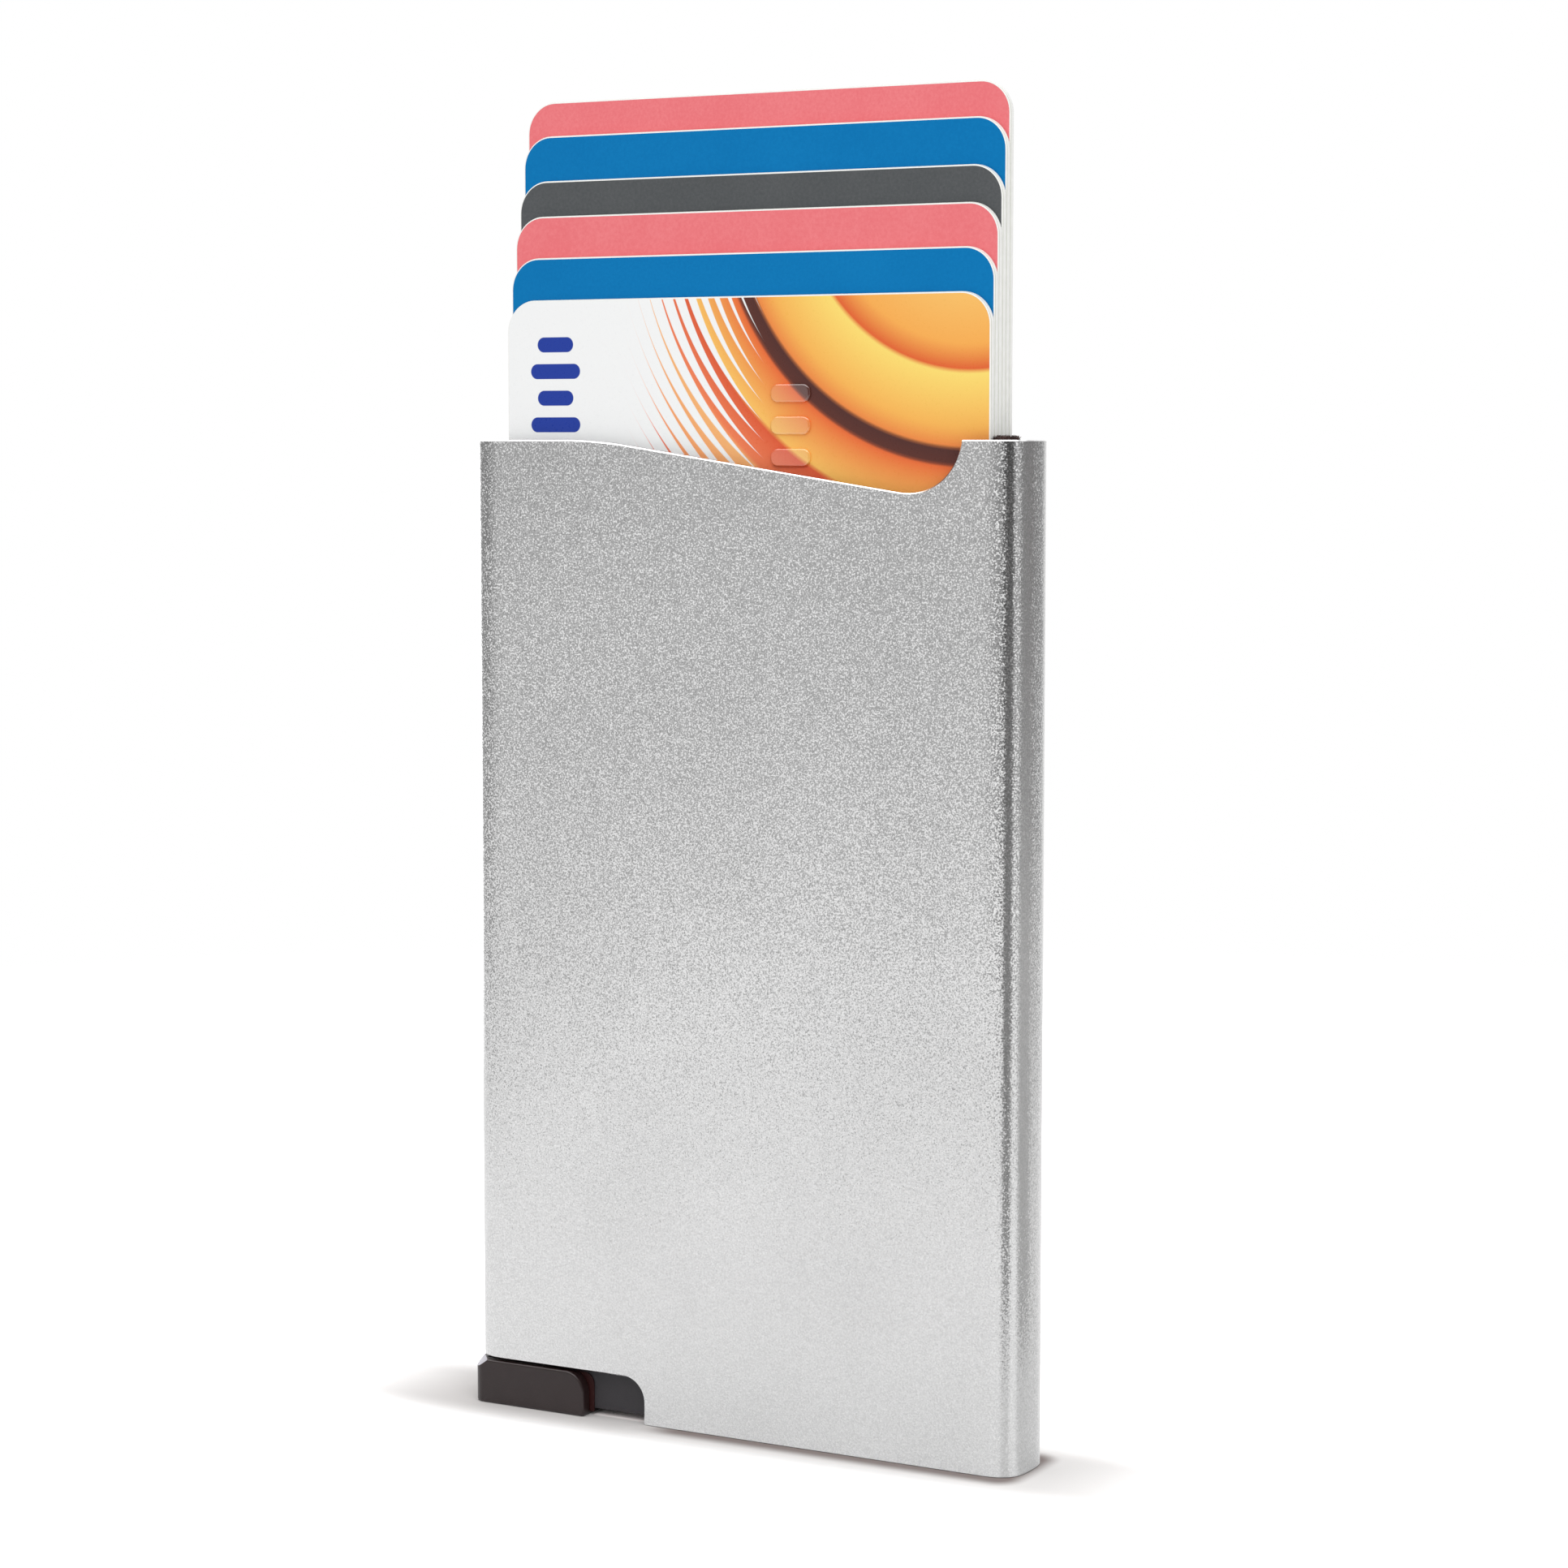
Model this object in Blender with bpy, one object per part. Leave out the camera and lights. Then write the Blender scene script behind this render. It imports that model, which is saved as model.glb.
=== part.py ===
# Aluminium card holder: a thin rounded tube with six fanned cards and a slider at one bottom corner.
# A stepped lever in the base turns the slider's short push into six unlike card lifts.
# Metres, +Z up, front face towards -Y, origin in the middle of the bottom face.

from math import acos, asin, atan, atan2, cos, pi, radians, sin, sqrt, tan

import bmesh
import bpy
from mathutils import Matrix

# Cards, standard bank card size, one behind the other
CARD_WIDTH = 0.05398
CARD_HEIGHT = 0.0856
CARD_THICKNESS = 0.00076
CARD_CORNER = 0.00318
CARD_SPACING = 0.00004

# Case
WALL = 0.001
CASE_CORNER = 0.0027
ROOM_BEFORE_CARDS = 0.00072
RIM_ABOVE_CARDS = 0.0004

# Thumb cut-out in the front wall
CUTOUT_DEPTH = 0.005
CUTOUT_SLOPE = radians(8.3)
CUTOUT_END_RADIUS = 0.0058
CUTOUT_BLEND_RADIUS = 0.05
CUTOUT_LOW_INSET = 0.0118
BLEND_ABOVE_RIM = 0.00002

# Felt strips beside the cards, each on a foam backing
FELT_GAP = 0.00016
FELT_THICKNESS = 0.00075
FELT_WIDTH = 0.0046
FELT_LENGTH = 0.0411
RIGHT_FELT_PROUD = 0.0003
LEFT_FELT_INSET = 0.0002
GLUE_GAP = 0.0001
FOAM_THICKNESS = 0.0015
FOAM_INSET = 0.0002
FOAM_WALL_GAP = 0.0003

# Slider cap in its notch
SLIDER_LENGTH = 0.0134
SLIDER_HEIGHT = 0.00445
SLIDER_TRAVEL = 0.0066
SLIDER_PLATE = 0.0012
SLIDER_PROUD = 0.0003
SLIDER_FLOOR = 0.0004
SLIDER_END_WALL = 0.001
SLIDER_TOP_RADIUS = 0.0022
SLIDER_CORNER = 0.0012
NOTCH_GAP = 0.00025
NOTCH_END_GAP = 0.0004

# Base insert in the bottom of the tube
INSERT_GAP = 0.0002
INSERT_LIFT = 0.00025
INSERT_FLOOR = 0.00095
INSERT_END_WALL = 0.0012
RUNNING_GAP = 0.0002
MOVING_GAP = 0.0003

# Lever, pins and drive tongue
PIVOT_RADIUS = 0.0008
PIN_FIT = 0.0001
BORE_FIT = 0.00015
HUB_WALL = 0.00085
WEB_THICKNESS = 0.0015
TONGUE_THICKNESS = 0.0014
TONGUE_WALL = 0.0006
DRIVE_RADIUS = 0.0007
DRIVE_HEIGHT = 0.00595
DRIVE_SLOT_FIT = 0.0002
EAR_WALL = 0.0006
LEVER_CLOSED = radians(-0.8)
WEB_TAPER = 0.7
EAR_INSET = 0.0001
NOSE_RADIUS = 0.0006
NOSE_CLEARANCE = 0.0002
NOSE_STEPS = (0.005, 0.00485, 0.0041, 0.00515, 0.0039)
STEP_START_INSET = 0.0001
STEP_OVERLAP = 0.4
SEAT_CLEARANCE = 0.0008
SHELF_BELOW_CARDS = 0.0005

# Facets of the curved edges, and how far a cutter runs past what it cuts
ARC_STEP = radians(9)
LIFT_SAMPLES = 60
PASS_THROUGH = 0.004

# Case, worked out from the cards and what lies beside them
CARD_PITCH = CARD_THICKNESS + CARD_SPACING
CARD_COUNT = len(NOSE_STEPS) + 1
STACK_DEPTH = CARD_COUNT * CARD_PITCH - CARD_SPACING
SIDE_ROOM = FELT_GAP + FELT_THICKNESS + GLUE_GAP + FOAM_THICKNESS + FOAM_WALL_GAP
INNER_WIDTH = CARD_WIDTH + 2 * SIDE_ROOM
INNER_DEPTH = STACK_DEPTH + 2 * ROOM_BEFORE_CARDS
CASE_WIDTH = INNER_WIDTH + 2 * WALL
CASE_DEPTH = INNER_DEPTH + 2 * WALL

# Notch and slider
NOTCH_HEIGHT = SLIDER_HEIGHT + NOTCH_GAP
NOTCH_RIGHT = SLIDER_LENGTH + SLIDER_TRAVEL + NOTCH_END_GAP - CASE_WIDTH / 2
NOTCH_RADIUS = SLIDER_TOP_RADIUS + NOTCH_GAP
SLIDER_DEPTH = CASE_DEPTH + 2 * SLIDER_PROUD
SLIDER_X = -CASE_WIDTH / 2

# Insert
INSERT_DEPTH = INNER_DEPTH - 2 * INSERT_GAP
INSERT_LEFT = INSERT_GAP - INNER_WIDTH / 2
INSERT_BOTTOM = SLIDER_FLOOR + INSERT_LIFT
INSERT_FLOOR_TOP = INSERT_BOTTOM + INSERT_FLOOR
INSERT_FOOT_LEFT = SLIDER_X + SLIDER_END_WALL + SLIDER_TRAVEL + MOVING_GAP
INSERT_STEP_HEIGHT = NOTCH_HEIGHT + INSERT_LIFT
CHANNEL_DEPTH = WEB_THICKNESS + TONGUE_THICKNESS + 3 * RUNNING_GAP

# Lever motion
HUB_RADIUS = PIVOT_RADIUS + BORE_FIT + HUB_WALL
PIVOT_X = INSERT_FOOT_LEFT + HUB_RADIUS
PIVOT_Z = INSERT_FLOOR_TOP + MOVING_GAP + HUB_RADIUS
SWING = 2 * atan(SLIDER_TRAVEL / 2 / DRIVE_HEIGHT)
DRIVE_REACH = DRIVE_HEIGHT / cos(SWING / 2)
DRIVE_X = PIVOT_X - SLIDER_TRAVEL / 2
DRIVE_Z = PIVOT_Z + DRIVE_HEIGHT
EAR_HALF_WIDTH = DRIVE_RADIUS + DRIVE_SLOT_FIT + EAR_WALL
TONGUE_HALF = PIVOT_RADIUS + BORE_FIT + TONGUE_WALL
CHEEK_REACH = NOTCH_RIGHT + RUNNING_GAP - PIVOT_X
STEPS_START = CHEEK_REACH + 2 * RUNNING_GAP
LEVER_REACH = INNER_WIDTH / 2 - 2 * RUNNING_GAP - NOSE_RADIUS - PIVOT_X

# Heights that follow from the mechanism
CARD_SEAT = PIVOT_Z + DRIVE_REACH + EAR_HALF_WIDTH + SEAT_CLEARANCE
SHELF_TOP = CARD_SEAT - SHELF_BELOW_CARDS
CASE_HEIGHT = CARD_SEAT + CARD_HEIGHT + RIM_ABOVE_CARDS

# Places across the case's depth
TONGUE_FRONT = RUNNING_GAP - CHANNEL_DEPTH / 2
TONGUE_BACK = TONGUE_FRONT + TONGUE_THICKNESS
WEB_FRONT = TONGUE_BACK + RUNNING_GAP
WEB_BACK = WEB_FRONT + WEB_THICKNESS


def clear_scene():
    for obj in list(bpy.data.objects):
        bpy.data.objects.remove(obj, do_unlink=True)


# Outlines

def arc(x, y, radius, start, end):
    steps = max(2, round(abs(end - start) / ARC_STEP))
    angles = [start + (end - start) * i / steps for i in range(steps + 1)]
    return [(x + radius * cos(a), y + radius * sin(a)) for a in angles]


def circle(x, y, radius):
    return arc(x, y, radius, 0, 2 * pi)[:-1]


def rounded_box(left, bottom, right, top, radii):
    bottom_left, bottom_right, top_right, top_left = radii
    points = corner(left, bottom, 1, 1, bottom_left, pi)
    points += corner(right, bottom, -1, 1, bottom_right, 1.5 * pi)
    points += corner(right, top, -1, -1, top_right, 0)
    points += corner(left, top, 1, -1, top_left, 0.5 * pi)
    return points


def corner(x, y, inward_x, inward_y, radius, start):
    if radius == 0:
        return [(x, y)]
    return arc(x + inward_x * radius, y + inward_y * radius, radius, start, start + pi / 2)


# Hull of two circles, the first of them at the origin
def tapered_bar(radius, reach, angle, end_radius):
    lean = acos((radius - end_radius) / reach)
    points = arc(reach * cos(angle), reach * sin(angle), end_radius, angle - lean, angle + lean)
    return points + arc(0, 0, radius, angle + lean, angle - lean + 2 * pi)


def slot(x0, y0, x1, y1, radius):
    angle = atan2(y1 - y0, x1 - x0)
    points = arc(x1, y1, radius, angle - pi / 2, angle + pi / 2)
    return points + arc(x0, y0, radius, angle + pi / 2, angle + 1.5 * pi)


# Solids: an outline with holes, given a thickness along its normal

def extruded_mesh(name, outlines, thickness):
    curve = bpy.data.curves.new(name, "CURVE")
    curve.dimensions = "2D"
    curve.fill_mode = "BOTH"
    curve.extrude = thickness / 2
    for outline in outlines:
        spline = curve.splines.new("POLY")
        spline.points.add(len(outline) - 1)
        for point, (x, y) in zip(spline.points, outline):
            point.co = (x, y, 0, 1)
        spline.use_cyclic_u = True
    holder = bpy.data.objects.new(name, curve)
    bpy.context.scene.collection.objects.link(holder)
    evaluated = holder.evaluated_get(bpy.context.evaluated_depsgraph_get())
    mesh = bpy.data.meshes.new_from_object(evaluated)
    bpy.data.objects.remove(holder)
    bpy.data.curves.remove(curve)
    weld(mesh)
    mesh.name = name
    return mesh


# The caps join the walls and become single faces, which keeps later cuts free of stray edges
def weld(mesh):
    bm = bmesh.new()
    bm.from_mesh(mesh)
    bmesh.ops.remove_doubles(bm, verts=bm.verts, dist=1e-7)
    bmesh.ops.recalc_face_normals(bm, faces=bm.faces)
    bmesh.ops.dissolve_limit(bm, angle_limit=radians(0.5), verts=bm.verts, edges=bm.edges)
    bm.to_mesh(mesh)
    bm.free()


# Outlines drawn as X and Z, thick along Y
def upright_plate(name, outlines, front, back):
    mesh = extruded_mesh(name, outlines, back - front)
    mesh.transform(Matrix.Rotation(pi / 2, 4, "X"))
    mesh.transform(Matrix.Translation((0, (front + back) / 2, 0)))
    return add_object(name, mesh)


# Outlines drawn as X and Y, thick along Z
def level_plate(name, outlines, bottom, top):
    mesh = extruded_mesh(name, outlines, top - bottom)
    mesh.transform(Matrix.Translation((0, 0, (bottom + top) / 2)))
    return add_object(name, mesh)


def pin_along_y(name, radius, front, back):
    mesh = bpy.data.meshes.new(name)
    bm = bmesh.new()
    turn = Matrix.Rotation(pi / 2, 4, "X")
    bmesh.ops.create_cone(bm, cap_ends=True, segments=32, radius1=radius, radius2=radius,
                          depth=back - front, matrix=turn)
    bm.to_mesh(mesh)
    bm.free()
    mesh.transform(Matrix.Translation((0, (front + back) / 2, 0)))
    return add_object(name, mesh)


def add_object(name, mesh):
    obj = bpy.data.objects.new(name, mesh)
    bpy.context.scene.collection.objects.link(obj)
    return obj


# The Boolean is applied at once, so that the finished mesh can be shaded, and the other shape is used up
def combine(obj, other, operation, solver="EXACT"):
    modifier = obj.modifiers.new(other.name, "BOOLEAN")
    modifier.operation = operation
    modifier.object = other
    modifier.solver = solver
    bpy.context.view_layer.update()
    evaluated = obj.evaluated_get(bpy.context.evaluated_depsgraph_get())
    mesh = bpy.data.meshes.new_from_object(evaluated)
    mesh.name = obj.name
    obj.modifiers.clear()
    obj.data = mesh
    bpy.data.objects.remove(other)


def cut(obj, cutter):
    combine(obj, cutter, "DIFFERENCE")


def empty_at(name, location, collection):
    empty = bpy.data.objects.new(name, None)
    empty.location = location
    empty.empty_display_size = CARD_CORNER
    collection.objects.link(empty)
    return empty


def material(name, color, roughness, metallic):
    result = bpy.data.materials.new(name)
    result.use_nodes = True
    shader = result.node_tree.nodes["Principled BSDF"]
    shader.inputs["Base Color"].default_value = (*color, 1)
    shader.inputs["Roughness"].default_value = roughness
    shader.inputs["Metallic"].default_value = metallic
    result.diffuse_color = (*color, 1)
    return result


def finish(obj, look, parts, parent=None):
    obj.data.shade_smooth()
    obj.data.set_sharp_from_angle(angle=radians(30))
    obj.data.materials.append(look)
    bpy.context.scene.collection.objects.unlink(obj)
    parts.objects.link(obj)
    obj.parent = parent


# Case

def bore_shape(width, depth, radius):
    return rounded_box(-width / 2, -depth / 2, width / 2, depth / 2, (radius,) * 4)


def make_case(parts):
    outer = bore_shape(CASE_WIDTH, CASE_DEPTH, CASE_CORNER)
    inner = bore_shape(INNER_WIDTH, INNER_DEPTH, CASE_CORNER - WALL)
    case = level_plate("case_tube", [outer, inner], 0, CASE_HEIGHT)
    cut(case, notch_cutter())
    cut(case, cutout_cutter())
    finish(case, material("blasted_aluminium", (0.55, 0.55, 0.56), 0.42, 1.0), parts)


# The notch for the slider runs through front, left end and back
def notch_cutter():
    outline = rounded_box(-CASE_WIDTH / 2 - PASS_THROUGH, -PASS_THROUGH, NOTCH_RIGHT, NOTCH_HEIGHT,
                          (0, 0, NOTCH_RADIUS, 0))
    return upright_plate("slider_notch", [outline], -CASE_DEPTH, CASE_DEPTH)


# A long slope from the left that ends in a round low point at the right
def cutout_cutter():
    low_x = CASE_WIDTH / 2 - CUTOUT_LOW_INSET
    end_z = CASE_HEIGHT - CUTOUT_DEPTH + CUTOUT_END_RADIUS
    above = CASE_HEIGHT + PASS_THROUGH
    blend = slope_blend(low_x, end_z)
    end = arc(low_x, end_z, CUTOUT_END_RADIUS, -pi / 2 - CUTOUT_SLOPE, 0)
    outline = blend + end + [(low_x + CUTOUT_END_RADIUS, above), (blend[0][0], above)]
    return upright_plate("thumb_cutout", [outline], -CASE_DEPTH, -STACK_DEPTH / 2)


# Where the slope leaves the rim, a wide arc that is level a hair above the rim
def slope_blend(low_x, end_z):
    rim = CASE_HEIGHT + BLEND_ABOVE_RIM
    foot_x = low_x - CUTOUT_END_RADIUS * sin(CUTOUT_SLOPE)
    foot_z = end_z - CUTOUT_END_RADIUS * cos(CUTOUT_SLOPE)
    meet_x = foot_x - (rim - foot_z) / tan(CUTOUT_SLOPE)
    center_x = meet_x - CUTOUT_BLEND_RADIUS * tan(CUTOUT_SLOPE / 2)
    center_z = rim - CUTOUT_BLEND_RADIUS
    steps = 6
    angles = [pi / 2 - CUTOUT_SLOPE * i / steps for i in range(steps + 1)]
    return [(center_x + CUTOUT_BLEND_RADIUS * cos(a), center_z + CUTOUT_BLEND_RADIUS * sin(a))
            for a in angles]


# Base insert

def make_insert(parts):
    insert = upright_plate("base_insert", [insert_outline(), pivot_hole()], -CASE_DEPTH, CASE_DEPTH)
    combine(insert, insert_section(), "INTERSECT")
    cut(insert, channel_cutter())
    finish(insert, material("insert_plastic", (0.055, 0.055, 0.06), 0.55, 0.0), parts)


# The inside of the tube, less the gap round the insert
def insert_section():
    section = bore_shape(-2 * INSERT_LEFT, INSERT_DEPTH, CASE_CORNER - WALL - INSERT_GAP)
    return level_plate("insert_section", [section], -PASS_THROUGH, CASE_HEIGHT)


# A floor across the tube and a pair of cheeks round the pivot, up to the shelf under the cards
def insert_outline():
    low = asin((INSERT_FLOOR_TOP - PIVOT_Z) / CHEEK_REACH)
    high = asin((SHELF_TOP - PIVOT_Z) / CHEEK_REACH)
    outside = CASE_WIDTH / 2
    points = [(outside, INSERT_BOTTOM), (outside, INSERT_FLOOR_TOP)]
    points += arc(PIVOT_X, PIVOT_Z, CHEEK_REACH, low, high)
    points += [(-outside, SHELF_TOP), (-outside, INSERT_STEP_HEIGHT)]
    points += [(INSERT_FOOT_LEFT, INSERT_STEP_HEIGHT), (INSERT_FOOT_LEFT, INSERT_BOTTOM)]
    return points


def pivot_hole():
    return circle(PIVOT_X, PIVOT_Z, PIVOT_RADIUS + PIN_FIT)


# The room between the cheeks, open below for the tongue and at the left end under the end wall
def channel_cutter():
    outside = INSERT_LEFT - PASS_THROUGH
    tongue_end = PIVOT_X + TONGUE_HALF + SLIDER_TRAVEL + MOVING_GAP
    wall_right = INSERT_LEFT + INSERT_END_WALL
    wall_bottom = PIVOT_Z + TONGUE_HALF + MOVING_GAP
    right = PIVOT_X + CHEEK_REACH + PASS_THROUGH
    above = SHELF_TOP + PASS_THROUGH
    outline = [(outside, -PASS_THROUGH), (tongue_end, -PASS_THROUGH), (tongue_end, INSERT_FLOOR_TOP),
               (right, INSERT_FLOOR_TOP), (right, above), (wall_right, above),
               (wall_right, wall_bottom), (outside, wall_bottom)]
    return upright_plate("mechanism_channel", [outline], -CHANNEL_DEPTH / 2, CHANNEL_DEPTH / 2)


def make_pivot_pin(parts):
    length = INSERT_DEPTH - 2 * RUNNING_GAP
    pin = pin_along_y("pivot_pin", PIVOT_RADIUS, -length / 2, length / 2)
    pin.location = (PIVOT_X, 0, PIVOT_Z)
    finish(pin, material("pivot_steel", (0.5, 0.5, 0.51), 0.3, 1.0), parts)


# Slider with its tongue and drive pin, drawn from the slider's left end

def make_slider(parts):
    slide = empty_at("slider_slide", (SLIDER_X, 0, 0), parts)
    finish(slider_cap(), material("slider_plastic", (0.053, 0.042, 0.042), 0.5, 0.0), parts, slide)
    finish(drive_tongue(), material("tongue_steel", (0.45, 0.45, 0.46), 0.35, 1.0), parts, slide)
    finish(drive_pin(), material("drive_steel", (0.5, 0.5, 0.51), 0.3, 1.0), parts, slide)


def slider_cap():
    half = SLIDER_DEPTH / 2
    plan = rounded_box(0, -half, SLIDER_LENGTH, half, (SLIDER_CORNER, 0, 0, SLIDER_CORNER))
    cap = level_plate("slider_cap", [plan], 0, SLIDER_HEIGHT + NOTCH_GAP)
    side = rounded_box(-PASS_THROUGH, -PASS_THROUGH, SLIDER_LENGTH, SLIDER_HEIGHT,
                       (0, 0, SLIDER_TOP_RADIUS, 0))
    combine(cap, upright_plate("slider_profile", [side], -SLIDER_DEPTH, SLIDER_DEPTH), "INTERSECT")
    inner = half - SLIDER_PLATE
    hollow = rounded_box(SLIDER_END_WALL, -inner, SLIDER_LENGTH + PASS_THROUGH, inner, (0, 0, 0, 0))
    cut(cap, level_plate("slider_cavity", [hollow], SLIDER_FLOOR, SLIDER_HEIGHT + PASS_THROUGH))
    return cap


# A flat web with a level slot over the pivot pin and a finger up to the drive pin
def drive_tongue():
    pivot_x = PIVOT_X - SLIDER_X
    finger_half = DRIVE_RADIUS + PIN_FIT + TONGUE_WALL
    finger_x = DRIVE_X - SLIDER_X
    left = pivot_x - SLIDER_TRAVEL - TONGUE_HALF
    right = pivot_x + TONGUE_HALF
    bottom = SLIDER_FLOOR + MOVING_GAP
    top = PIVOT_Z + TONGUE_HALF
    outline = [(left, bottom), (right, bottom), (right, top), (finger_x + finger_half, top)]
    outline += arc(finger_x, DRIVE_Z, finger_half, 0, pi)
    outline += [(finger_x - finger_half, top), (left, top)]
    pivot_slot = slot(pivot_x - SLIDER_TRAVEL, PIVOT_Z, pivot_x, PIVOT_Z, PIVOT_RADIUS + BORE_FIT)
    hole = circle(finger_x, DRIVE_Z, DRIVE_RADIUS + PIN_FIT)
    return upright_plate("drive_tongue", [outline, pivot_slot, hole], TONGUE_FRONT, TONGUE_BACK)


def drive_pin():
    pin = pin_along_y("drive_pin", DRIVE_RADIUS, TONGUE_FRONT, WEB_BACK)
    pin.location = (DRIVE_X - SLIDER_X, 0, DRIVE_Z)
    return pin


# Lever, drawn closed about its pivot and turned open by its axis empty

def nose_reaches():
    reaches = [LEVER_REACH]
    for step in reversed(NOSE_STEPS):
        reaches.insert(0, reaches[0] - step)
    return reaches


# The steps are joined with the MANIFOLD solver, because EXACT leaves them open at some sizes
def make_lever(parts):
    axis = empty_at("lever_axis", (PIVOT_X, 0, PIVOT_Z), parts)
    axis.rotation_euler = (0, -SWING, 0)
    ear_angle = pi / 2 - SWING / 2
    web = tapered_bar(HUB_RADIUS, STEPS_START + HUB_RADIUS, LEVER_CLOSED, HUB_RADIUS * WEB_TAPER)
    lever = upright_plate("ejector_lever", [web], WEB_FRONT, WEB_BACK)
    combine(lever, lever_ear(ear_angle), "UNION", "MANIFOLD")
    for index, reach in enumerate(nose_reaches()):
        combine(lever, lever_step(index, reach), "UNION", "MANIFOLD")
    cut(lever, lever_bore())
    cut(lever, ear_slot(ear_angle))
    finish(lever, material("lever_plastic", (0.08, 0.08, 0.085), 0.5, 0.0), parts, axis)


# The ear that the drive pin pushes, a hair thinner than the web
def lever_ear(angle):
    outline = slot(0, 0, DRIVE_REACH * cos(angle), DRIVE_REACH * sin(angle), EAR_HALF_WIDTH)
    return upright_plate("lever_ear", [outline], WEB_FRONT + EAR_INSET, WEB_BACK - EAR_INSET)


# One step: it starts clear of the cheeks, lies under its card and runs a little way into the next step
def lever_step(index, reach):
    start = STEPS_START + (CARD_COUNT - 1 - index) * STEP_START_INSET
    full = tapered_bar(HUB_RADIUS, reach, LEVER_CLOSED, NOSE_RADIUS)
    outline = [point for point in full if along_arm(point) > start]
    lean = (HUB_RADIUS - NOSE_RADIUS) / reach
    half = (HUB_RADIUS - start * lean) / sqrt(1 - lean ** 2)
    outline += [off_arm(start, half), off_arm(start, -half)]
    front = index * CARD_PITCH - CARD_COUNT * CARD_PITCH / 2
    last = index == CARD_COUNT - 1
    back = front + CARD_PITCH * (1 if last else 1 + STEP_OVERLAP)
    return upright_plate(f"lever_step_{index + 1}", [outline], front, back)


def along_arm(point):
    return point[0] * cos(LEVER_CLOSED) + point[1] * sin(LEVER_CLOSED)


def off_arm(along, across):
    return (along * cos(LEVER_CLOSED) - across * sin(LEVER_CLOSED),
            along * sin(LEVER_CLOSED) + across * cos(LEVER_CLOSED))


def lever_bore():
    return upright_plate("lever_bore", [circle(0, 0, PIVOT_RADIUS + BORE_FIT)], -CASE_DEPTH, CASE_DEPTH)


def ear_slot(angle):
    outline = slot(DRIVE_HEIGHT * cos(angle), DRIVE_HEIGHT * sin(angle),
                   DRIVE_REACH * cos(angle), DRIVE_REACH * sin(angle), DRIVE_RADIUS + DRIVE_SLOT_FIT)
    return upright_plate("ear_slot", [outline], -CASE_DEPTH, CASE_DEPTH)


# Cards, raised by the open lever

def nose_top(reach, share):
    return PIVOT_Z + reach * sin(LEVER_CLOSED + SWING * share) + NOSE_RADIUS


# The card rises in step with the lever's angle, while its nose follows an arc.
# The lift leaves the clearance at whichever part of the swing brings them closest.
def card_lift(reach):
    shares = [i / LIFT_SAMPLES for i in range(1, LIFT_SAMPLES + 1)]
    return max((nose_top(reach, share) + NOSE_CLEARANCE - CARD_SEAT) / share for share in shares)


def make_cards(parts):
    outline = rounded_box(-CARD_WIDTH / 2, 0, CARD_WIDTH / 2, CARD_HEIGHT, (CARD_CORNER,) * 4)
    colors = ((0.87, 0.47, 0.13), (0.0, 0.18, 0.5), (0.85, 0.2, 0.21),
              (0.09, 0.09, 0.1), (0.0, 0.18, 0.5), (0.85, 0.2, 0.21))
    for index, reach in enumerate(nose_reaches()):
        name = f"card_{index + 1}"
        card = upright_plate(name, [outline], 0, CARD_THICKNESS)
        card.location = (0, index * CARD_PITCH - STACK_DEPTH / 2, CARD_SEAT + card_lift(reach))
        finish(card, material(f"{name}_plastic", colors[index % len(colors)], 0.3, 0.0), parts)


# Felt and foam

def make_strips(parts):
    foam_outer = INNER_WIDTH / 2 - FOAM_WALL_GAP
    felt_outer = foam_outer - FOAM_THICKNESS - GLUE_GAP
    felt = material("brown_felt", (0.06, 0.045, 0.04), 0.95, 0.0)
    foam = material("grey_foam", (0.12, 0.12, 0.12), 0.9, 0.0)
    for side, sign, top in (("left", -1, CASE_HEIGHT - LEFT_FELT_INSET), ("right", 1, CASE_HEIGHT + RIGHT_FELT_PROUD)):
        bottom = top - FELT_LENGTH
        strip = wall_strip(f"{side}_felt_strip", sign * felt_outer, sign * (felt_outer - FELT_THICKNESS),
                           FELT_WIDTH, bottom, top)
        finish(strip, felt, parts)
        backing = wall_strip(f"{side}_foam_backing", sign * foam_outer, sign * (foam_outer - FOAM_THICKNESS),
                             FELT_WIDTH - 2 * FOAM_INSET, bottom + FOAM_INSET, CASE_HEIGHT - FOAM_INSET)
        finish(backing, foam, parts)


def wall_strip(name, outer, inner, width, bottom, top):
    left, right = sorted((outer, inner))
    outline = rounded_box(left, -width / 2, right, width / 2, (0, 0, 0, 0))
    return level_plate(name, [outline], bottom, top)


def build():
    clear_scene()
    parts = bpy.data.collections.new("card_holder")
    bpy.context.scene.collection.children.link(parts)
    make_case(parts)
    make_insert(parts)
    make_pivot_pin(parts)
    make_slider(parts)
    make_lever(parts)
    make_cards(parts)
    make_strips(parts)


build()
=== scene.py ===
from math import cos, pi, radians, sin, tan
from random import Random

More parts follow.
